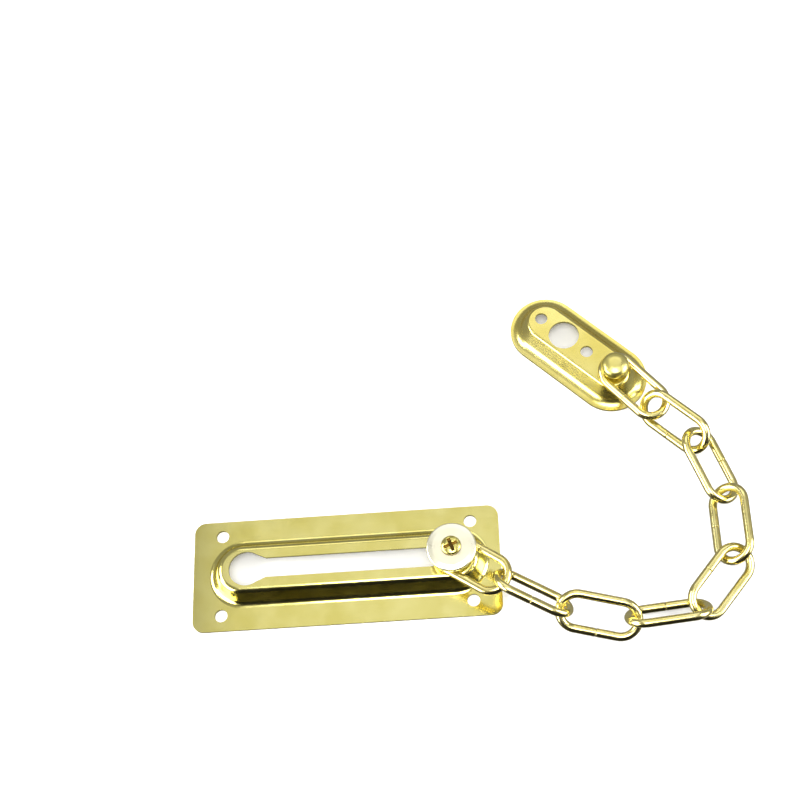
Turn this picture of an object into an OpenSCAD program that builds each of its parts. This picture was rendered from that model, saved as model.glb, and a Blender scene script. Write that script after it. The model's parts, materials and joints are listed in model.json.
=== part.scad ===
// Door chain guard: a slotted track plate, a knob that slides in the slot,
// nine chain links and an oval anchor plate with a domed rivet.
// Both plates lie with their backs on z = 0. The origin is the middle of the
// track plate. The slot runs along x. All sizes are millimetres.

/* [Track plate] */
// Length of the track plate
track_len = 108; // [90:1:130]
// Width of the track plate
track_wid = 40; // [32:1:50]
// Thickness of the sheet both plates are pressed from
sheet_t = 1.2; // [0.8:0.1:2]
// Radius of the plate corners
corner_r = 4; // [1:0.5:8]
// Height of the raised channel above the back of the plate
channel_h = 8; // [6.5:0.5:10]
// Width of the raised channel where it leaves the flat plate
channel_foot = 22.4; // [20:0.2:24]
// Width of the flat top of the raised channel
channel_top = 16; // [15:0.2:18]
// Where the left end of the channel starts
channel_x0 = -47; // [-50:0.5:-46]
// Where the right end of the channel stops
channel_x1 = 49.5; // [48:0.5:51]

/* [Slot] */
// Width of the slot
slot_w = 7; // [6.8:0.1:8]
// Diameter of the round entry at the left end of the slot
key_d = 12.2; // [11.9:0.1:13]
// Centre of the round entry
key_x = -34; // [-35:0.5:-30]
// Centre of the closed end of the slot, where the knob rests
slot_x = 38; // [30:0.5:38]

/* [Screw holes] */
// Diameter of the mounting holes
screw_d = 4.5; // [3.5:0.1:5]
// Hole spacing along the track plate
hole_dx = 88; // [80:1:92]
// Hole spacing across the track plate
hole_dy = 29; // [26:0.5:30]

/* [Knob] */
// Diameter of the round cap
cap_d = 17; // [14:0.5:20]
// Thickness of the round cap
cap_t = 2; // [1.5:0.1:3]
// Diameter of the barrel the first link hangs on
barrel_d = 6.4; // [5.5:0.1:7]
// Diameter of the collar that rides on the channel
collar_d = 11.4; // [9:0.2:13]
// Thickness of the collar
collar_t = 2; // [1.5:0.1:2.5]
// Free height between the collar and the cap
barrel_gap = 5.4; // [5:0.2:7]
// Diameter of the foot behind the slot
foot_d = 11.4; // [9:0.2:11.6]
// Thickness of the foot
foot_t = 1.6; // [1:0.1:2.5]
// Diameter of the screw head
head_d = 7; // [6:0.2:8]

/* [Chain] */
// Wire diameter
wire_d = 3; // [2.6:0.1:3.2]
// Length of one link over its wire
link_len = 30; // [29:0.5:31]
// Width of one link over its wire
link_wid = 15; // [14.5:0.5:15.5]
// Centre distance of two wires where links hook together
hook_d = 3.25; // [3.15:0.05:3.4]

/* [Anchor plate] */
// Length of the anchor plate
anchor_len = 57; // [50:1:65]
// Width of the anchor plate
anchor_wid = 26; // [24:0.5:28]
// Height of the raised middle of the anchor plate
anchor_h = 8; // [6:0.5:9]
// Width of the flat top of the raised middle
anchor_top = 13; // [12:0.5:15]
// Width of the raised middle where it leaves the rim
anchor_foot = 22; // [20:0.5:23]
// Diameter of the large hole
big_d = 11; // [9:0.5:12]
// Distance of the small holes from the large hole
small_dx = 10.7; // [9:0.1:12]
// Distance of the rivet from the large hole
rivet_x = 23.7; // [22:0.1:25]
// Direction of the anchor plate, degrees from x
anchor_yaw = -43.5; // [-50:0.5:-40]
// Diameter of the domed rivet head
dome_d = 10.4; // [9:0.2:11]
// Height of the domed rivet head
dome_h = 3.4; // [2.5:0.1:4]
// Diameter of the rivet neck
neck_d = 5; // [4:0.2:5.4]

/* [Hidden] */
$fn = 96;

// Small play left between parts that slide on each other
play = 0.2;
// Centre-line radius of a link end and half the centre-line length
end_r = (link_wid - wire_d) / 2;
half_l = (link_len - wire_d) / 2;
// Heights of the knob pieces, from the channel upwards
collar_z = channel_h + play;
barrel_z = collar_z + collar_t;
cap_z = barrel_z + barrel_gap;
foot_z = channel_h - sheet_t - play - foot_t;
// Neck of the knob inside the slot
stud_neck_d = slot_w - 2 * play;
// Eased corners of the round entry, measured from its centre
ease_x = key_d * 0.24;
ease_y = sqrt(key_d * key_d / 4 - ease_x * ease_x) - 0.2;
ease_end = key_d * 0.56;
// Place of the large hole of the anchor plate, and the height of the dome
big_x = 82;
big_y = 81.8;
dome_z = anchor_h + 4.4;
anchor_x0 = -21.7;

// How each link lies at rest: direction from x, rise above level and turn
// about its own length, in whole degrees, from the knob to the anchor
LIE = [
    [-35, 6, 6],
    [-27, -12, 128],
    [-13, -7, -152],
    [5, -1, -52],
    [49, 1, 23],
    [90, -2, -33],
    [112, 8, -151],
    [134, -7, -49],
    [134, 9, 1]
];
// Slack of each hook, in millimetres, from the second link on
SLACK = [0.3, 0.1, 0.1, 0.1, 1.7, 0.7, 3.3, 3.9];
// Middle of the wire of the first link at its knob end
first_x = 33.5;
first_y = 2.5;
first_z = 12.1;

// Length, width and face directions of a link that lies as q says
function dir_a(q) = [cos(q[1]) * cos(q[0]), cos(q[1]) * sin(q[0]), sin(q[1])];
function dir_s(q) = [-sin(q[0]), cos(q[0]), 0];
function dir_b(q) = cos(q[2]) * dir_s(q) + sin(q[2]) * cross(dir_a(q), dir_s(q));
function dir_n(q) = cross(dir_a(q), dir_b(q));
// Angle along the end of link q at which link w hooks in
function hook_angle(q, w) = atan2(dir_a(w) * dir_b(q), dir_a(w) * dir_a(q));
function hook_dir(q, t) = cos(t) * dir_a(q) + sin(t) * dir_b(q);
// Middle of link w when it hooks in link q, whose middle is c, with slack f
function next_mid(c, q, w, f) = c + (half_l - end_r) * dir_a(q)
    + end_r * hook_dir(q, hook_angle(q, w)) + (half_l - hook_d - f) * dir_a(w);
function link_mid(i) = i == 0
    ? [first_x, first_y, first_z] + half_l * dir_a(LIE[0])
    : next_mid(link_mid(i - 1), LIE[i - 1], LIE[i], SLACK[i - 1]);

// Flat outline with rounded corners
module rounded_outline(len, wid, r) {
    square([len - 2 * r, wid], center = true);
    square([len, wid - 2 * r], center = true);
    for (sx = [-1, 1], sy = [-1, 1]) {
        translate([sx * (len / 2 - r), sy * (wid / 2 - r)]) circle(r = r);
    }
}

// Long block with round ends and sloping sides: wide at z0, narrow at z1
module sloped_block(x0, x1, w0, w1, z0, z1) {
    xa = x0 + w0 / 2;
    xb = x1 - w0 / 2;
    translate([xa, 0, z0]) cylinder(h = z1 - z0, r1 = w0 / 2, r2 = w1 / 2);
    translate([xb, 0, z0]) cylinder(h = z1 - z0, r1 = w0 / 2, r2 = w1 / 2);
    translate([xa, 0, 0]) rotate([90, 0, 90]) linear_extrude(height = xb - xa)
        polygon([[-w0 / 2, z0], [w0 / 2, z0], [w1 / 2, z1], [-w1 / 2, z1]]);
}

// Wall thickness measured level across the sloping sides
wall = sheet_t * 1.1;

// Slotted plate, pressed in one piece: flat rim, raised channel, keyhole slot
module track_plate() {
    color([0.80, 0.66, 0.33]) difference() {
        union() {
            linear_extrude(height = sheet_t) rounded_outline(track_len, track_wid, corner_r);
            sloped_block(channel_x0, channel_x1, channel_foot, channel_top, 0, channel_h);
        }
        translate([0, 0, -1]) sloped_block(channel_x0 + wall, channel_x1 - wall,
            channel_foot - 2 * wall, channel_top - 2 * wall, 0, channel_h - sheet_t + 1);
        translate([key_x, 0, 0]) cylinder(h = channel_h + 5, d = key_d);
        translate([slot_x, 0, 0]) cylinder(h = channel_h + 5, d = slot_w);
        translate([key_x, -slot_w / 2, 0]) cube([slot_x - key_x, slot_w, channel_h + 5]);
        // Eased corners where the straight run meets the round entry
        translate([key_x, 0, 0]) linear_extrude(height = channel_h + 5)
            polygon([[0, -ease_y], [ease_x, -ease_y], [ease_end, -slot_w / 2],
                [ease_end, slot_w / 2], [ease_x, ease_y], [0, ease_y]]);
        for (sx = [-1, 1], sy = [-1, 1]) {
            translate([sx * hole_dx / 2, sy * hole_dy / 2, -1])
                cylinder(h = sheet_t + 2, d = screw_d);
        }
    }
}

// Turned stud of the knob: foot behind the slot, neck, collar and barrel
module slider_stud() {
    color([0.82, 0.68, 0.36]) translate([slot_x, 0, 0]) difference() {
        union() {
            translate([0, 0, foot_z]) cylinder(h = foot_t, d = foot_d);
            translate([0, 0, foot_z]) cylinder(h = collar_z - foot_z + 0.5, d = stud_neck_d);
            translate([0, 0, collar_z]) cylinder(h = collar_t, d = collar_d);
            translate([0, 0, collar_z]) cylinder(h = cap_z - collar_z, d = barrel_d);
        }
        translate([0, 0, cap_z - 6.5]) cylinder(h = 7, d = 3.1);
    }
}

// Round cap that keeps the first link on the barrel
module slider_cap() {
    color([0.86, 0.74, 0.44]) translate([slot_x, 0, cap_z]) difference() {
        rotate_extrude() polygon([[0, 0], [cap_d / 2 - 0.4, 0], [cap_d / 2, 0.4],
            [cap_d / 2, cap_t - 0.5], [cap_d / 2 - 0.5, cap_t], [0, cap_t]]);
        translate([0, 0, -1]) cylinder(h = cap_t + 2, d = 3.4);
    }
}

// Cross-recess screw that holds the cap on the stud
module slider_screw() {
    head_h = 2.2;
    dome_r = (head_d * head_d / 4 + head_h * head_h) / (2 * head_h);
    color([0.84, 0.72, 0.42]) translate([slot_x, 0, cap_z + cap_t]) difference() {
        union() {
            rotate_extrude() intersection() {
                translate([0, head_h - dome_r]) circle(r = dome_r);
                square([head_d / 2 + 1, head_h + 1]);
            }
            translate([0, 0, -cap_t - 5.5]) cylinder(h = cap_t + 6, d = 3);
        }
        translate([-1.7, -0.35, 0.9]) cube([3.4, 0.7, 3]);
        translate([-0.35, -1.7, 0.9]) cube([0.7, 3.4, 3]);
    }
}

// One welded wire link, laid out flat about its own middle; the cut ends of
// the wire meet with a hair-line gap in the middle of one side
module wire_link() {
    difference() {
        union() {
            for (s = [-1, 1]) {
                translate([end_r - half_l, s * end_r, 0]) rotate([0, 90, 0])
                    cylinder(h = 2 * (half_l - end_r), d = wire_d);
                translate([s * (half_l - end_r), 0, 0]) rotate([0, 0, -90 * s])
                    rotate_extrude(angle = 180) translate([end_r, 0]) circle(d = wire_d);
            }
        }
        translate([-0.05, end_r - wire_d, -wire_d]) cube([0.1, 2 * wire_d, 2 * wire_d]);
    }
}

// Link number i + 1 where it lies at rest
module placed_link(i) {
    q = LIE[i];
    a = dir_a(q);
    b = dir_b(q);
    n = dir_n(q);
    c = link_mid(i);
    color([0.80, 0.64, 0.30]) multmatrix([[a[0], b[0], n[0], c[0]],
        [a[1], b[1], n[1], c[1]], [a[2], b[2], n[2], c[2]], [0, 0, 0, 1]]) wire_link();
}

// Chain links, from the knob to the anchor
module link_1() placed_link(0);
module link_2() placed_link(1);
module link_3() placed_link(2);
module link_4() placed_link(3);
module link_5() placed_link(4);
module link_6() placed_link(5);
module link_7() placed_link(6);
module link_8() placed_link(7);
module link_9() placed_link(8);

// Oval plate for the door frame, pressed in one piece with a raised middle
module anchor_plate() {
    rim = (anchor_wid - anchor_foot) / 2;
    xa = anchor_x0;
    xb = anchor_x0 + anchor_len;
    color([0.80, 0.66, 0.33]) translate([big_x, big_y, 0]) rotate([0, 0, anchor_yaw]) difference() {
        union() {
            translate([(xa + xb) / 2, 0, 0]) linear_extrude(height = sheet_t)
                rounded_outline(anchor_len, anchor_wid, anchor_wid / 2 - 0.01);
            sloped_block(xa + rim, xb - rim, anchor_foot, anchor_top, 0, anchor_h);
        }
        translate([0, 0, -1]) sloped_block(xa + rim + wall, xb - rim - wall,
            anchor_foot - 2 * wall, anchor_top - 2 * wall, 0, anchor_h - sheet_t + 1);
        cylinder(h = anchor_h + 5, d = big_d);
        for (s = [-1, 1]) {
            translate([s * small_dx, 0, 0]) cylinder(h = anchor_h + 5, d = screw_d);
        }
        translate([rivet_x, 0, 0]) cylinder(h = anchor_h + 5, d = 4.2);
    }
}

// Rivet in the anchor plate: domed head, neck for the last link, closed tail
module anchor_rivet() {
    dome_r = (dome_d * dome_d / 4 + dome_h * dome_h) / (2 * dome_h);
    color([0.84, 0.70, 0.38]) translate([big_x, big_y, 0]) rotate([0, 0, anchor_yaw])
        translate([rivet_x, 0, 0]) {
            translate([0, 0, dome_z]) rotate_extrude() intersection() {
                translate([0, dome_h - dome_r]) circle(r = dome_r);
                square([dome_d / 2 + 1, dome_h + 1]);
            }
            translate([0, 0, anchor_h]) cylinder(h = dome_z - anchor_h + 0.5, d = neck_d);
            translate([0, 0, anchor_h - sheet_t - 0.5]) cylinder(h = sheet_t + 1, d = 4.1);
            translate([0, 0, anchor_h - sheet_t - 1.4]) cylinder(h = 1.4, d = 7);
        }
}

track_plate();
slider_stud();
slider_cap();
slider_screw();
link_1();
link_2();
link_3();
link_4();
link_5();
link_6();
link_7();
link_8();
link_9();
anchor_plate();
anchor_rivet();
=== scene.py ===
# %% [markdown]
# # A brass door chain guard
#
# The guard has two pressed plates, a knob that slides in a slot, nine wire
# links and a domed rivet. This file builds the visible pieces one by one, as
# one would by hand in Blender: draw a section, spin it, press it, cut it,
# round its edges. The imported model gives the size and place of everything,
# so it is loaded first; each of its parts is hidden once a piece stands for it.

# %% Load the fixed frame
import json
import math

import bmesh
import bpy
from mathutils import Matrix, Vector

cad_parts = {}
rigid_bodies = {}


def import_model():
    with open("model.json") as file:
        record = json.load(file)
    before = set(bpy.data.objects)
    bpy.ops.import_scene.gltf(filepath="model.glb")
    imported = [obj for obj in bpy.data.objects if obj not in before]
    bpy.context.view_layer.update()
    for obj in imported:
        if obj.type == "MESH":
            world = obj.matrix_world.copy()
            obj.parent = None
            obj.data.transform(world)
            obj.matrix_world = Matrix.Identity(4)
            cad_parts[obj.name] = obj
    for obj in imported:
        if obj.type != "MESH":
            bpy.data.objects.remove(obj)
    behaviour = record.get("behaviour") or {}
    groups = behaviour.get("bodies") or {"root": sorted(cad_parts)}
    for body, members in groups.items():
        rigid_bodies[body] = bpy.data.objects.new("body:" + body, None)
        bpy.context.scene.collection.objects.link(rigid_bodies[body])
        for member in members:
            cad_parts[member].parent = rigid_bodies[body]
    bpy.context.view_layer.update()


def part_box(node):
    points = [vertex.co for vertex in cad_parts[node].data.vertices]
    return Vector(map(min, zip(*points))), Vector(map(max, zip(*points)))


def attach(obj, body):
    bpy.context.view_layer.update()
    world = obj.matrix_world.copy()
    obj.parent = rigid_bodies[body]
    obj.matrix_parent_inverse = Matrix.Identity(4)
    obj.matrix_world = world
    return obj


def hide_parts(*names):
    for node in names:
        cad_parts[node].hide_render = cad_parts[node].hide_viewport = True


for leftover in list(bpy.data.objects):
    bpy.data.objects.remove(leftover)
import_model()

# %% [markdown]
# All sizes below are written in millimetres and turned into metres by one
# factor. The few helpers here do what the mouse does: leave nothing selected,
# enter edit mode, and select points by where they are.

# %% Small helpers for selecting
MM = 0.001
UP = Vector((0, 0, 1))


def mm(*numbers):
    """A point given in millimetres, in metres."""
    return Vector(numbers) * MM


def nothing_selected():
    if bpy.context.object and bpy.context.object.mode != "OBJECT":
        bpy.ops.object.mode_set(mode="OBJECT")
    bpy.ops.object.select_all(action="DESELECT")


def work_on(piece):
    nothing_selected()
    piece.select_set(True)
    bpy.context.view_layer.objects.active = piece


def edit(piece, mode="VERT"):
    work_on(piece)
    bpy.ops.object.mode_set(mode="EDIT")
    bpy.ops.mesh.select_mode(type=mode)


def leave():
    bpy.ops.object.mode_set(mode="OBJECT")


def pick(piece, wanted):
    """In edit mode, selects the vertices for which wanted(place) is true."""
    bpy.ops.mesh.select_mode(type="VERT")
    bpy.ops.mesh.select_all(action="DESELECT")
    mesh = bmesh.from_edit_mesh(piece.data)
    for vert in mesh.verts:
        vert.select = bool(wanted(vert.co))
    mesh.select_flush(True)
    bmesh.update_edit_mesh(piece.data)
    return sum(vert.select for vert in mesh.verts)


def newest(name):
    piece = bpy.context.object
    piece.name = name
    piece.data.name = name
    piece.data.materials.clear()
    return piece


def report(piece):
    low = [min(v.co[i] for v in piece.data.vertices) / MM for i in range(3)]
    high = [max(v.co[i] for v in piece.data.vertices) / MM for i in range(3)]
    text = " x ".join("%.1f" % (b - a) for a, b in zip(low, high))
    print("%s: %d faces, %s mm" % (piece.name, len(piece.data.polygons), text))


# %% [markdown]
# A section is drawn the way it is drawn by hand: one vertex, extruded again
# and again from point to point. Where the sheet or the bar has a round bend,
# the corner is replaced by an arc that touches both straights.

# %% Draw a section, with rounded corners
def rounded(points, radii, steps=6):
    """points as (x, z) pairs in millimetres; radii gives each inner corner."""
    path = [Vector(points[0])]
    for before, corner, after, radius in zip(points, points[1:], points[2:], radii):
        c = Vector(corner)
        one = (Vector(before) - c).normalized()
        two = (Vector(after) - c).normalized()
        if radius <= 0:
            path.append(c)
            continue
        half = one.angle(two) / 2
        middle = c + (one + two).normalized() * radius / math.sin(half)
        start = c + one * radius / math.tan(half) - middle
        finish = c + two * radius / math.tan(half) - middle
        turn = start.angle(finish)
        for k in range(steps + 1):
            t = k / steps
            arc = start * math.sin((1 - t) * turn) + finish * math.sin(t * turn)
            path.append(middle + arc / math.sin(turn))
    path.append(Vector(points[-1]))
    return path


def draw(name, path):
    """Extrudes one vertex along the path of metre-sized points."""
    nothing_selected()
    bpy.ops.mesh.primitive_plane_add(size=MM)
    piece = newest(name)
    edit(piece)
    bpy.ops.mesh.select_all(action="SELECT")
    bpy.ops.mesh.merge(type="CENTER")
    bpy.ops.transform.translate(value=path[0])
    for here, there in zip(path, path[1:]):
        bpy.ops.mesh.extrude_vertices_move(
            TRANSFORM_OT_translate={"value": there - here})
    leave()
    return piece


# %% [markdown]
# Round turned pieces, such as the stud and the rivet, are one section spun
# all the way round. Pressed pieces with round ends are spun half way round
# one end, pulled along, spun round the other end and pulled back.

# %% Spin a section
def close_up(piece):
    """Merges doubled points and turns every face outwards."""
    edit(piece)
    bpy.ops.mesh.select_all(action="SELECT")
    bpy.ops.mesh.remove_doubles(threshold=0.002 * MM)
    bpy.ops.mesh.normals_make_consistent(inside=False)
    leave()


def turned(name, centre, section, radii, steps=72):
    """A turned solid from a section of (radius, height) pairs."""
    path = [centre + mm(p.x, 0, p.y) for p in rounded(section, radii)]
    piece = draw(name, path)
    edit(piece)
    bpy.ops.mesh.select_all(action="SELECT")
    bpy.ops.mesh.spin(steps=steps, angle=2 * math.pi, center=centre, axis=UP)
    close_up(piece)
    return piece


def half_turn(piece, at_x, side, steps):
    """Spins the loose end of a skin half way round the end at at_x."""
    pick(piece, lambda p: abs(p.x - at_x) < 0.01 * MM and p.y * side > 0)
    bpy.ops.mesh.spin(steps=steps, angle=-math.pi, center=(at_x, 0, 0), axis=UP)


def pull(piece, at_x, side, distance):
    """Pulls the loose end of a skin straight along x."""
    pick(piece, lambda p: abs(p.x - at_x) < 0.01 * MM and p.y * side > 0)
    bpy.ops.mesh.extrude_edges_move(
        TRANSFORM_OT_translate={"value": (distance, 0, 0)})


def pressed_skin(name, x_left, x_right, section, radii, steps=36):
    """The outer skin of a long pressing with round ends, from its section."""
    a, b = x_left * MM, x_right * MM
    path = [mm(x_left, p.x, p.y) for p in rounded(section, radii)]
    piece = draw(name, path)
    edit(piece)
    half_turn(piece, a, 1, steps)
    pull(piece, a, -1, b - a)
    half_turn(piece, b, -1, steps)
    pull(piece, b, 1, a - b)
    bpy.ops.mesh.select_all(action="SELECT")
    bpy.ops.mesh.remove_doubles(threshold=0.002 * MM)
    leave()
    return piece


# %% [markdown]
# Holes are cut with a Boolean modifier, and the cut edges are then rounded a
# little, because no pressed or drilled edge is knife sharp. Flat faces are
# joined up again before the bevel, so that it runs cleanly.

# %% Cut, thicken and round
SHEET = 1.2
EDGE = 0.22
SCREW_HOLE = 2.25


def apply_modifier(piece, kind, **settings):
    work_on(piece)
    modifier = piece.modifiers.new(kind.lower(), kind)
    for key, value in settings.items():
        setattr(modifier, key, value)
    bpy.ops.object.modifier_apply(modifier=modifier.name)


def cut(piece, cutter, how="DIFFERENCE"):
    apply_modifier(piece, "BOOLEAN", operation=how, solver="EXACT", object=cutter)
    bpy.data.objects.remove(cutter)


def face_up(skin):
    """Turns the faces of an open skin so that they look upwards."""
    edit(skin)
    bpy.ops.mesh.select_all(action="SELECT")
    bpy.ops.mesh.normals_make_consistent(inside=False)
    leave()
    if sum(f.normal.z * f.area for f in skin.data.polygons) < 0:
        edit(skin)
        bpy.ops.mesh.select_all(action="SELECT")
        bpy.ops.mesh.flip_normals()
        leave()


def thicken(skin):
    """Gives a skin that looks upwards the thickness of the sheet, downwards."""
    apply_modifier(skin, "SOLIDIFY", thickness=SHEET * MM, offset=-1,
                   use_even_offset=True)


def round_bar(x, y, z0, z1, radius, vertices=64):
    """A cutter for a round hole."""
    nothing_selected()
    bpy.ops.mesh.primitive_cylinder_add(
        vertices=vertices, radius=radius * MM, depth=(z1 - z0) * MM,
        location=mm(x, y, (z0 + z1) / 2))
    return newest("cutter")


def block(x, y, z, wide, deep, high, turn=0):
    """A cutter for a straight slot."""
    nothing_selected()
    bpy.ops.mesh.primitive_cube_add(
        size=1, location=mm(x, y, z), rotation=(0, 0, turn),
        scale=mm(wide, deep, high))
    return newest("cutter")


def round_edges(piece, width, segments=2, sharper_than=30):
    edit(piece, "EDGE")
    bpy.ops.mesh.select_all(action="SELECT")
    bpy.ops.mesh.dissolve_limited(angle_limit=math.radians(0.4))
    bpy.ops.mesh.select_all(action="DESELECT")
    bpy.ops.mesh.edges_select_sharp(sharpness=math.radians(sharper_than))
    bpy.ops.mesh.bevel(offset=width * MM, segments=segments, affect="EDGES",
                       clamp_overlap=True)
    leave()


def smooth(piece, angle=40):
    """Smooth shading, with the flat faces kept flat."""
    work_on(piece)
    bpy.ops.object.shade_smooth_by_angle(angle=math.radians(angle))
    apply_modifier(piece, "WEIGHTED_NORMAL", keep_sharp=True, weight=80)


# %% [markdown]
# ## Brass finishes
#
# Plated brass is a clear mirror with very small faults: the tone drifts a
# little, the polish is uneven, and fine lines run the way the sheet was
# rolled or the wire was drawn. Colour, roughness and a faint bump each get
# their own noise, read from Object coordinates so that nothing slides.

# %% A brass finish made of nodes
TONE_PATCHES = 70      # noise cells in a metre: patches about 14 mm wide
POLISH_PATCHES = 240   # about 4 mm wide
RIPPLES = 45           # about 22 mm wide


def brass(name, light, dark, polish, lines, bump, turn=0.0):
    """polish is (smoothest, roughest); lines is the noise scale along x, y, z."""
    material = bpy.data.materials.new(name)
    material.use_nodes = True
    nodes, links = material.node_tree.nodes, material.node_tree.links
    shader = nodes["Principled BSDF"]
    shader.inputs["Metallic"].default_value = 1.0
    place = nodes.new("ShaderNodeTexCoord")

    def noise(scale, detail, along=(1, 1, 1), spin=0.0):
        mapping = nodes.new("ShaderNodeMapping")
        mapping.inputs["Rotation"].default_value = (0, 0, spin)
        mapping.inputs["Scale"].default_value = along
        texture = nodes.new("ShaderNodeTexNoise")
        texture.inputs["Scale"].default_value = scale
        texture.inputs["Detail"].default_value = detail
        links.new(place.outputs["Object"], mapping.inputs["Vector"])
        links.new(mapping.outputs["Vector"], texture.inputs["Vector"])
        return texture.outputs["Fac"]

    tone = nodes.new("ShaderNodeValToRGB")
    tone.color_ramp.elements[0].position = 0.35
    tone.color_ramp.elements[0].color = (*dark, 1)
    tone.color_ramp.elements[1].position = 0.65
    tone.color_ramp.elements[1].color = (*light, 1)
    links.new(noise(TONE_PATCHES, 3), tone.inputs["Fac"])
    links.new(tone.outputs["Color"], shader.inputs["Base Color"])

    gloss = nodes.new("ShaderNodeMapRange")
    gloss.inputs["From Min"].default_value = 0.3
    gloss.inputs["From Max"].default_value = 0.7
    gloss.inputs["To Min"].default_value = polish[0]
    gloss.inputs["To Max"].default_value = polish[1]
    links.new(noise(POLISH_PATCHES, 6), gloss.inputs["Value"])
    links.new(gloss.outputs["Result"], shader.inputs["Roughness"])

    faint = nodes.new("ShaderNodeBump")
    faint.inputs["Strength"].default_value = bump
    faint.inputs["Distance"].default_value = 0.02 * MM
    links.new(noise(1.0, 4, lines, turn), faint.inputs["Height"])
    ripple = nodes.new("ShaderNodeBump")
    ripple.inputs["Strength"].default_value = bump
    ripple.inputs["Distance"].default_value = 0.01 * MM
    links.new(noise(RIPPLES, 0), ripple.inputs["Height"])
    links.new(faint.outputs["Normal"], ripple.inputs["Normal"])
    links.new(ripple.outputs["Normal"], shader.inputs["Normal"])
    return material


# %% [markdown]
# Turned pieces carry the fine rings that a lathe leaves. The rings are noise
# read along one number only, the distance from the piece's own axis, so they
# come out round. They are laid over the bump that the finish already has.

# %% Rings left by the lathe
def ringed(name, light, dark, polish, centre, pitch, bump):
    """A finish with the fine rings that a lathe tool leaves round centre."""
    material = brass(name, light, dark, polish, (900, 900, 900), bump * 0.4)
    nodes, links = material.node_tree.nodes, material.node_tree.links
    place = nodes.new("ShaderNodeTexCoord")
    away = nodes.new("ShaderNodeVectorMath")
    away.operation = "SUBTRACT"
    away.inputs[1].default_value = (centre.x, centre.y, 0)
    flat = nodes.new("ShaderNodeVectorMath")
    flat.operation = "MULTIPLY"
    flat.inputs[1].default_value = (1, 1, 0)
    radius = nodes.new("ShaderNodeVectorMath")
    radius.operation = "LENGTH"
    grooves = nodes.new("ShaderNodeTexNoise")
    grooves.noise_dimensions = "1D"
    grooves.inputs["Scale"].default_value = 1 / (pitch * MM)
    grooves.inputs["Detail"].default_value = 3
    rings = nodes.new("ShaderNodeBump")
    rings.inputs["Strength"].default_value = bump
    rings.inputs["Distance"].default_value = 0.03 * MM
    links.new(place.outputs["Object"], away.inputs[0])
    links.new(away.outputs["Vector"], flat.inputs[0])
    links.new(flat.outputs["Vector"], radius.inputs[0])
    links.new(radius.outputs["Value"], grooves.inputs["W"])
    links.new(grooves.outputs["Fac"], rings.inputs["Height"])
    shader = nodes["Principled BSDF"]
    below = shader.inputs["Normal"].links[0].from_socket
    links.new(below, rings.inputs["Normal"])
    links.new(rings.outputs["Normal"], shader.inputs["Normal"])
    return material


# %% [markdown]
# The recess in a screw head and the corner under its rim get painted shade:
# below a given height the gold fades to dark brown, painted in where shadow falls.

# %% Painted shade in a recess
def paint_recess_shade(material, low, high, shade_colour):
    """Paints shade into a finish: fades it to a dark shade colour, from the height high
    down to low, in millimetres.
    """
    nodes, links = material.node_tree.nodes, material.node_tree.links
    shader = nodes["Principled BSDF"]
    place = nodes.new("ShaderNodeTexCoord")
    parts = nodes.new("ShaderNodeSeparateXYZ")
    depth = nodes.new("ShaderNodeMapRange")
    depth.inputs["From Min"].default_value = high * MM
    depth.inputs["From Max"].default_value = low * MM
    mix = nodes.new("ShaderNodeMix")
    mix.data_type = "RGBA"
    mix.inputs["B"].default_value = (*shade_colour, 1)
    # the finish's own colour, before the painted shade is mixed over it
    unshaded_colour = shader.inputs["Base Color"].links[0].from_socket
    links.new(place.outputs["Object"], parts.inputs["Vector"])
    links.new(parts.outputs["Z"], depth.inputs["Value"])
    links.new(depth.outputs["Result"], mix.inputs["Factor"])
    links.new(unshaded_colour, mix.inputs["A"])
    links.new(mix.outputs["Result"], shader.inputs["Base Color"])


# %% [markdown]
# The rings and the recess need to know where the knob and the rivet stand,
# so the few places that several pieces share are written down here.

# %% Places that pieces share
SLOT_END = 38.0
KNOB = mm(SLOT_END, 0, 0)
ANCHOR_TURN = math.radians(-43.5)
BIG_HOLE = mm(82, 81.8, 0)
RIVET_X = 23.7
RIVET = BIG_HOLE + Matrix.Rotation(ANCHOR_TURN, 4, "Z") @ mm(RIVET_X, 0, 0)
print("knob at (%.1f, %.1f) mm, rivet at (%.1f, %.1f) mm"
      % (*KNOB.xy / MM, *RIVET.xy / MM))

# %% [markdown]
# The pieces are plated apart, so each has its own gold. The plates have long
# rolling lines, the wire short ones. The cap is the palest and most satin,
# and the anchor plate and its rivet are softer in gloss than the track plate.

# %% Mix the finishes
GOLD = (0.88, 0.80, 0.30)
OLD_GOLD = (0.78, 0.69, 0.20)
PALE = (1.0, 0.98, 0.80)
plate_brass = brass("track_brass", GOLD, OLD_GOLD, (0.13, 0.18), (60, 1600, 1600), 0.20)
anchor_brass = brass("anchor_brass", (0.88, 0.77, 0.26), (0.78, 0.66, 0.17),
                     (0.23, 0.27), (60, 1600, 1600), 0.08, -ANCHOR_TURN)
wire_brass = brass("wire_brass", (0.90, 0.80, 0.36), (0.80, 0.69, 0.24),
                   (0.17, 0.26), (700, 700, 700), 0.18)
stud_brass = ringed("stud_brass", GOLD, OLD_GOLD, (0.15, 0.28), KNOB, 0.25, 0.3)
cap_brass = ringed("cap_brass", PALE, (0.98, 0.94, 0.70), (0.26, 0.36),
                   KNOB, 0.22, 0.30)
screw_brass = ringed("screw_brass", GOLD, OLD_GOLD, (0.16, 0.28), KNOB, 0.3, 0.2)
rivet_brass = ringed("rivet_brass", (0.86, 0.76, 0.28), OLD_GOLD, (0.26, 0.36),
                     RIVET, 0.5, 0.12)
# Painted shade: the screw's recess and the side of its head fade to dark brown below
# 19.2 mm.
paint_recess_shade(screw_brass, 18.4, 19.2, (0.10, 0.06, 0.015))
print("finishes:", len(bpy.data.materials))


# %% [markdown]
# Every finished piece is handed over in the same way: it gets its material,
# rides on its body and stands for its CAD node, which is hidden.

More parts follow.
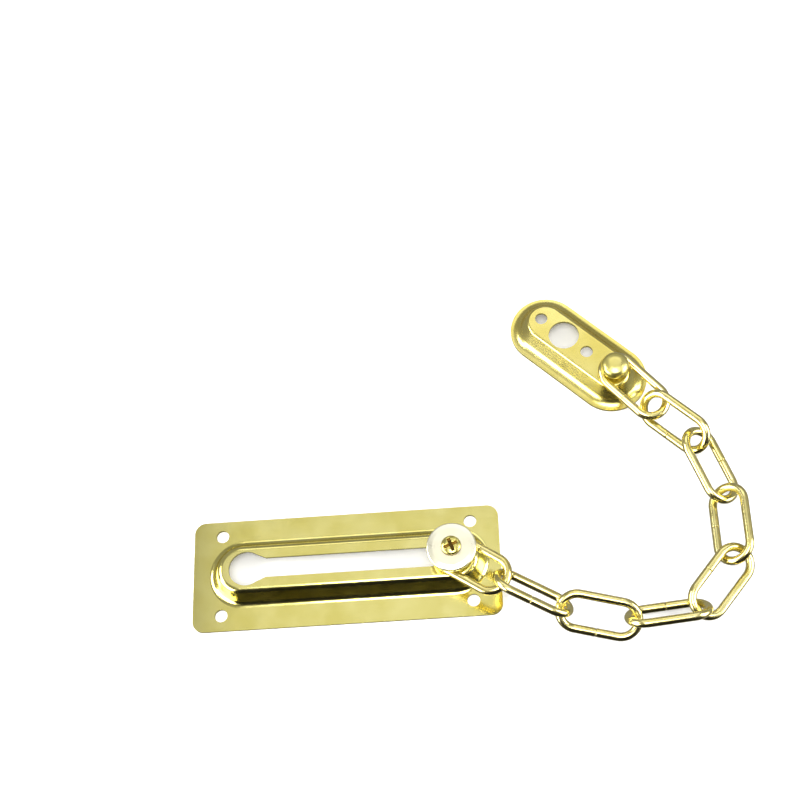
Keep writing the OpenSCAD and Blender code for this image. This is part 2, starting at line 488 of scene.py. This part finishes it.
# %% Hand a piece over
def hand_over(piece, body, node, material):
    piece.data.materials.clear()
    piece.data.materials.append(material)
    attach(piece, body)
    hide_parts(node)
    report(piece)


# %% [markdown]
# ## The track plate
#
# The real plate is one pressed sheet 1.2 mm thick. Half of its section is
# drawn from the flat top of the channel, round the bend, down the sloping
# wall and round the foot to the flat rim. Spinning and pulling it gives the
# raised channel. The rim is then filled out to a rectangle with round
# corners, and Solidify gives the sheet its thickness.

# %% Spin the channel
CHANNEL_TOP = 8.0
CHANNEL_FLAT, CHANNEL_FOOT = 5.8, 12.6
LEFT_END, RIGHT_END = -35.8, 38.3
channel_section = [(CHANNEL_FLAT, CHANNEL_TOP), (8.0, CHANNEL_TOP), (10.72, SHEET),
                   (CHANNEL_FOOT, SHEET)]
track = pressed_skin("track_plate_pressed", LEFT_END, RIGHT_END,
                     channel_section, (2.2, 2.6))
report(track)

# %% [markdown]
# The top is one flat face inside the innermost ring of points. The rim needs
# an outer edge to be filled up to: a rectangle whose corners are bevelled
# round, with its own face taken out, joined to the channel. Fill then closes
# the strip between the two loops and leaves the channel open below.

# %% Find the rings of points
def from_axis(p, a, b):
    """Distance of p, seen from above, from the line between two round ends."""
    x = min(max(p.x, a), b)
    return math.hypot(p.x - x, p.y)


def on_ring(a, b, radius):
    return lambda p: abs(from_axis(p, a * MM, b * MM) - radius * MM) < 0.01 * MM


def fill_ring(piece, wanted):
    pick(piece, wanted)
    bpy.ops.mesh.edge_face_add()


# %% Fill the top and the rim
PLATE_LONG, PLATE_WIDE, CORNER = 108, 40, 4
edit(track)
fill_ring(track, on_ring(LEFT_END, RIGHT_END, CHANNEL_FLAT))
nothing_selected()
bpy.ops.mesh.primitive_plane_add(size=1, location=mm(0, 0, SHEET))
rim = newest("rim")
edit(rim)
bpy.ops.mesh.select_all(action="SELECT")
bpy.ops.transform.resize(value=(PLATE_LONG * MM, PLATE_WIDE * MM, 1))
bpy.ops.mesh.bevel(offset=CORNER * MM, segments=10, affect="VERTICES")
bpy.ops.mesh.delete(type="ONLY_FACE")
leave()
bpy.ops.object.transform_apply(location=True, rotation=True, scale=True)
work_on(track)
rim.select_set(True)
bpy.ops.object.join()


def on_rim(p):
    """True on the plate's round corners and where the channel's foot ends."""
    corner = (abs(p.x) > (PLATE_LONG / 2 - CORNER - 0.05) * MM
              and abs(p.y) > (PLATE_WIDE / 2 - CORNER - 0.05) * MM)
    return corner or on_ring(LEFT_END, RIGHT_END, CHANNEL_FOOT)(p)


edit(track)
print("rim points:", pick(track, on_rim))
bpy.ops.mesh.fill(use_beauty=True)
leave()
face_up(track)
thicken(track)
report(track)

# %% [markdown]
# The keyhole slot is a round entry, a straight run and a round closed end.
# Two small wedges ease the corners where the straight run meets the entry.

# %% A cutter for the eased corners
SLOT = 7.0
ENTRY_X, ENTRY_R = -34.0, 6.1
WEDGE_X, WEDGE_LONG, WEDGE_WIDE = -29.2, 4.2, 10.7


def entry_wedge():
    """A cutter that eases the corners between the round entry and the slot."""
    wedge = block(WEDGE_X, 0, CHANNEL_TOP, WEDGE_LONG, SLOT, 8)
    bpy.ops.object.transform_apply(location=True, rotation=True, scale=True)
    edit(wedge)
    pick(wedge, lambda p: p.x < WEDGE_X * MM)
    bpy.ops.transform.resize(value=(1, WEDGE_WIDE / SLOT, 1))
    leave()
    return wedge


# %% Cut the slot and the screw holes
TRACK_HOLE_X, TRACK_HOLE_Y = 44, 14.5
cut(track, round_bar(ENTRY_X, 0, 4, 12, ENTRY_R))
cut(track, entry_wedge())
cut(track, block((ENTRY_X + SLOT_END) / 2, 0, CHANNEL_TOP, SLOT_END - ENTRY_X, SLOT, 8))
cut(track, round_bar(SLOT_END, 0, 4, 12, SLOT / 2))
for x in (-TRACK_HOLE_X, TRACK_HOLE_X):
    for y in (-TRACK_HOLE_Y, TRACK_HOLE_Y):
        cut(track, round_bar(x, y, -2, 3, SCREW_HOLE, 40))
round_edges(track, EDGE)
smooth(track)
hand_over(track, "track", "track_plate", plate_brass)

# %% [markdown]
# ## The knob
#
# Three turned pieces: a stud whose foot hides behind the slot, a round cap,
# and a screw with a cross recess that holds the two together. Each section
# runs from the axis, round the outside and back to the axis, from foot to
# top, so one spin closes it.

# %% Turn the stud and the cap
stud = turned("knob_stud", KNOB, [
    (0, 5), (5.7, 5), (5.7, 6.6), (3.3, 6.6), (3.3, 8.2), (5.7, 8.2), (5.7, 10.2),
    (3.2, 10.2), (3.2, 15.6), (0, 15.6)],
    (0.3, 0.3, 0.2, 0.2, 0.4, 0.4, 0.3, 0.3))
smooth(stud)
hand_over(stud, "knob", "slider_stud", stud_brass)

cap = turned("knob_cap", KNOB, [
    (0, 15.6), (8.5, 15.6), (8.5, 17.3), (6.5, 17.6), (0, 17.6)],
    (0.4, 0.6, 2.0), steps=96)
smooth(cap)
hand_over(cap, "knob", "slider_cap", cap_brass)

# %% [markdown]
# The screw is turned like the others. Its recess is cut by two bars that
# cross in the middle of the head, turned a little, as a driver left them.

# %% Turn the screw and cut its recess
RECESS_TURN = 0.35
screw = turned("knob_screw", KNOB, [
    (0, 10.2), (1.5, 10.2), (1.5, 17.6), (3.5, 17.6), (3.35, 19.2), (1.9, 19.75),
    (0, 19.75)], (0.2, 0, 0.2, 0.8, 1.5))
for turn in (RECESS_TURN, RECESS_TURN + math.pi / 2):
    cut(screw, block(SLOT_END, 0, 19.8, 4.8, 1.2, 3.0, turn))
round_edges(screw, 0.10, 2, 45)
smooth(screw)
hand_over(screw, "knob", "slider_screw", screw_brass)

# %% [markdown]
# ## The chain
#
# A link is 3 mm wire bent into a long ring whose two ends butt together in
# the middle of one side. It is made once, flat about its own middle: a circle
# is swept by pulling and spinning it, from one side of the joint round to the
# other. Copies of it are then laid one after the other.

# %% Bend one link
WIRE, LENGTH, WIDTH, GAP = 3.0, 30.0, 15.0, 0.10
END_R = (WIDTH - WIRE) / 2
HALF = (LENGTH - WIRE) / 2
REACH = HALF - END_R


def sweep_end(piece, x, side):
    return pick(piece, lambda p: abs(p.x - x * MM) < 0.01 * MM and p.y * side > 0)


def bend_link():
    nothing_selected()
    bpy.ops.mesh.primitive_circle_add(
        vertices=24, radius=WIRE / 2 * MM, fill_type="NOTHING",
        location=mm(GAP / 2, END_R, 0), rotation=(0, math.pi / 2, 0))
    bpy.ops.object.transform_apply(location=True, rotation=True, scale=True)
    link = newest("link")
    edit(link)
    x, side = GAP / 2, 1
    for end in (REACH, -REACH):
        sweep_end(link, x, side)
        bpy.ops.mesh.extrude_edges_move(
            TRANSFORM_OT_translate={"value": mm(end - x, 0, 0)})
        sweep_end(link, end, side)
        bpy.ops.mesh.spin(steps=24, angle=math.pi, center=mm(end, 0, 0), axis=UP)
        x, side = end, -side
    sweep_end(link, x, side)
    bpy.ops.mesh.extrude_edges_move(
        TRANSFORM_OT_translate={"value": mm(-GAP / 2 - x, 0, 0)})
    for x in (GAP / 2, -GAP / 2):
        sweep_end(link, x, 1)
        bpy.ops.mesh.edge_face_add()
        bpy.ops.mesh.select_mode(type="EDGE")
        bpy.ops.mesh.bevel(offset=0.22 * MM, segments=2, affect="EDGES")
    close_up(link)
    return link


pattern_link = bend_link()
report(pattern_link)

# %% [markdown]
# Each link lies in a direction, rises a little and is turned about its own
# length. The next one hooks round its far end, with some slack. These are
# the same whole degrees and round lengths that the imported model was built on.

# %% Lay the links
LIE = [(-35, 6, 6), (-27, -12, 128), (-13, -7, -152), (5, -1, -52),
       (49, 1, 23), (90, -2, -33), (112, 8, -151),
       (134, -7, -49), (134, 9, 1)]
SLACK = [0.3, 0.1, 0.1, 0.1, 1.7, 0.7, 3.3, 3.9]
HOOK = 3.25
FIRST = mm(33.5, 2.5, 12.1)


def directions(yaw, rise, roll):
    """Unit vectors along a link, across it and out of its face."""
    yaw, rise, roll = (math.radians(v) for v in (yaw, rise, roll))
    along = Vector((math.cos(rise) * math.cos(yaw), math.cos(rise) * math.sin(yaw),
                    math.sin(rise)))
    level = Vector((-math.sin(yaw), math.cos(yaw), 0))
    across = math.cos(roll) * level + math.sin(roll) * along.cross(level)
    return along, across, along.cross(across)


def lay_link(number, middle, axes):
    """A copy of the link at its place, with the place in its mesh."""
    link = pattern_link.copy()
    link.data = pattern_link.data.copy()
    bpy.context.collection.objects.link(link)
    link.name = link.data.name = "wire_link_%d" % number
    place = Matrix.Translation(middle) @ Matrix((*axes,)).transposed().to_4x4()
    link.data.transform(place)
    smooth(link, 50)
    body = "link_%d" % number
    hand_over(link, body, body, wire_brass)


axes = directions(*LIE[0])
middle = FIRST + HALF * MM * axes[0]
for number, lie in enumerate(LIE, start=1):
    if number > 1:
        along, across, out = axes
        axes = directions(*lie)
        swing = math.atan2(axes[0].dot(across), axes[0].dot(along))
        hook = math.cos(swing) * along + math.sin(swing) * across
        middle = middle + REACH * MM * along + END_R * MM * hook
        middle += (HALF - HOOK - SLACK[number - 2]) * MM * axes[0]
    lay_link(number, middle, axes)
    low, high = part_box("link_%d" % number)
    off = (middle - (low + high) / 2).length / MM
    print("  middle off the packed link by %.3f mm" % off)
bpy.data.objects.remove(pattern_link)

# %% [markdown]
# ## The anchor plate
#
# The oval plate is pressed in the same way, but its rim is round-ended too,
# so one section gives the whole plate. It is made along x, then turned into
# its place.

# %% Press the anchor plate
ANCHOR_LEFT, ANCHOR_RIGHT = -8.7, 22.3
ANCHOR_TOP = 8.0
ANCHOR_FLAT = 3.0
anchor_section = [(ANCHOR_FLAT, ANCHOR_TOP), (6.5, ANCHOR_TOP), (10.3, SHEET),
                  (13.0, SHEET)]
anchor = pressed_skin("anchor_plate_pressed", ANCHOR_LEFT, ANCHOR_RIGHT,
                      anchor_section, (1.4, 4.2))
edit(anchor)
fill_ring(anchor, on_ring(ANCHOR_LEFT, ANCHOR_RIGHT, ANCHOR_FLAT))
leave()
face_up(anchor)
thicken(anchor)
report(anchor)

# %% [markdown]
# Four holes go through the flat top: a large one, a screw hole on either side
# of it, and the rivet's hole near the chain's end. Then the plate is turned
# and moved in its own mesh, so that its object stays at the origin.

# %% Cut the anchor plate's holes and lay it in place
BIG_HOLE_R, SMALL_HOLE_X, RIVET_HOLE = 5.5, 10.7, 2.1
cut(anchor, round_bar(0, 0, 4, 12, BIG_HOLE_R))
for x in (-SMALL_HOLE_X, SMALL_HOLE_X):
    cut(anchor, round_bar(x, 0, 4, 12, SCREW_HOLE, 40))
cut(anchor, round_bar(RIVET_X, 0, 4, 12, RIVET_HOLE, 40))
round_edges(anchor, EDGE)
work_on(anchor)
turned_in_place = Matrix.Rotation(ANCHOR_TURN, 4, "Z")
anchor.data.transform(Matrix.Translation(BIG_HOLE) @ turned_in_place)
smooth(anchor)
hand_over(anchor, "anchor", "anchor_plate", anchor_brass)

# %% [markdown]
# The rivet is one section too: a flat tail under the sheet, a neck that the
# last link hooks round, and a domed head that keeps the link on.

# %% Turn the rivet
rivet = turned("anchor_rivet_domed", RIVET, [
    (0, 5.4), (3.5, 5.4), (3.5, 6.8), (2.05, 6.8), (2.05, 8.0), (2.5, 8.0), (2.5, 12.4),
    (5.2, 12.4), (4.6, 14.9), (2.0, 15.8), (0, 15.8)],
    (0.5, 0.1, 0, 0, 0, 0.4, 0.3, 2.2, 4.0))
smooth(rivet)
hand_over(rivet, "anchor", "anchor_rivet", rivet_brass)

# %% [markdown]
# ## Studio
#
# A pale floor that glows a little, as a light table does, large soft lights
# above and beside it, and a camera that looks down steeply from the near
# side. The room is pale all round except in front, where it is kept dark:
# polished metal shows only what it mirrors, and a dark front draws the edges.

# %% The floor
nothing_selected()
bpy.ops.mesh.primitive_plane_add(size=6, location=(0, 0, -0.02 * MM))
floor = newest("floor")
paper = bpy.data.materials.new("paper")
paper.use_nodes = True
paper_shader = paper.node_tree.nodes["Principled BSDF"]
paper_shader.inputs["Base Color"].default_value = (0.9, 0.9, 0.9, 1)
paper_shader.inputs["Roughness"].default_value = 0.8
paper_shader.inputs["Emission Color"].default_value = (1, 1, 1, 1)
paper_shader.inputs["Emission Strength"].default_value = 0.2
floor.data.materials.append(paper)
floor.visible_glossy = False    # the metal mirrors the room, not the paper
print("floor laid")

# %% [markdown]
# The world gives the room. Its brightness is read from the direction that a
# ray goes in: a Map Range turns the y part of it into dark for the front and
# pale for the rest. The eye itself sees a plain pale backdrop all round.

# %% The room
world = bpy.data.worlds.new("studio")
world.use_nodes = True
nodes, links = world.node_tree.nodes, world.node_tree.links
room = nodes["Background"]
room.inputs["Color"].default_value = (1, 1, 1, 1)
heading = nodes.new("ShaderNodeTexCoord")
parts = nodes.new("ShaderNodeSeparateXYZ")
dark_front = nodes.new("ShaderNodeMapRange")
dark_front.inputs["From Min"].default_value = -0.75
dark_front.inputs["From Max"].default_value = -0.35
dark_front.inputs["To Min"].default_value = 0.01
dark_front.inputs["To Max"].default_value = 0.3
links.new(heading.outputs["Generated"], parts.inputs["Vector"])
links.new(parts.outputs["Y"], dark_front.inputs["Value"])
links.new(dark_front.outputs["Result"], room.inputs["Strength"])
backdrop = nodes.new("ShaderNodeBackground")
backdrop.inputs["Color"].default_value = (1, 1, 1, 1)
backdrop.inputs["Strength"].default_value = 0.8
seen = nodes.new("ShaderNodeLightPath")
either = nodes.new("ShaderNodeMixShader")
links.new(seen.outputs["Is Camera Ray"], either.inputs["Fac"])
links.new(room.outputs["Background"], either.inputs[1])
links.new(backdrop.outputs["Background"], either.inputs[2])
links.new(either.outputs["Shader"], nodes["World Output"].inputs["Surface"])
bpy.context.scene.world = world
bpy.context.scene.view_settings.view_transform = "Standard"
print("room set, dark towards -y")

# %% [markdown]
# Each light is a white panel, aimed at a point on the floor. The large one
# overhead fills the flat tops, and the two low ones draw a bright band along
# the sloping walls and the wire.

# %% The lights
def softbox(name, place, aim, width, height, power):
    nothing_selected()
    bpy.ops.object.light_add(type="AREA", location=place)
    lamp = bpy.context.object
    lamp.name = name
    lamp.data.shape = "RECTANGLE"
    lamp.data.size, lamp.data.size_y = width, height
    lamp.data.energy = power
    beam = Vector(aim) - Vector(place)
    lamp.rotation_euler = beam.to_track_quat("-Z", "Y").to_euler()


CENTRE = (0.05, 0.03, 0)
softbox("top", (0.12, 0.0, 0.9), (0.12, 0.0, 0), 0.8, 0.8, 1.25)
softbox("back", (0.12, 0.72, 0.8), (0.1, 0.1, 0), 0.9, 0.5, 1.6)
softbox("left", (-0.75, 0.15, 0.6), CENTRE, 0.4, 0.4, 4)
softbox("right", (0.85, 0.0, 0.6), CENTRE, 0.4, 0.4, 4)
softbox("key", (0.05, -0.25, 0.9), CENTRE, 0.4, 0.4, 4.5)
softbox("left low", (-0.5, -0.26, 0.2), CENTRE, 0.5, 0.4, 4.5)
softbox("right low", (0.65, -0.12, 0.14), CENTRE, 0.4, 0.28, 2)

# %% [markdown]
# The camera looks down from the near side, nearly straight. The small shift
# slides the frame over the object without turning the view.

# %% The camera
bpy.ops.object.camera_add(location=(0.0646, -0.1469, 0.4487),
                          rotation=[math.radians(v) for v in (21.81, 3.38, -2.75)])
camera = bpy.context.object
camera.data.lens = 60.7
camera.data.sensor_width = 36
camera.data.shift_x = -0.094
camera.data.shift_y = 0.088
bpy.context.scene.camera = camera
print("camera at (%.3f, %.3f, %.3f) m" % (*camera.location,))
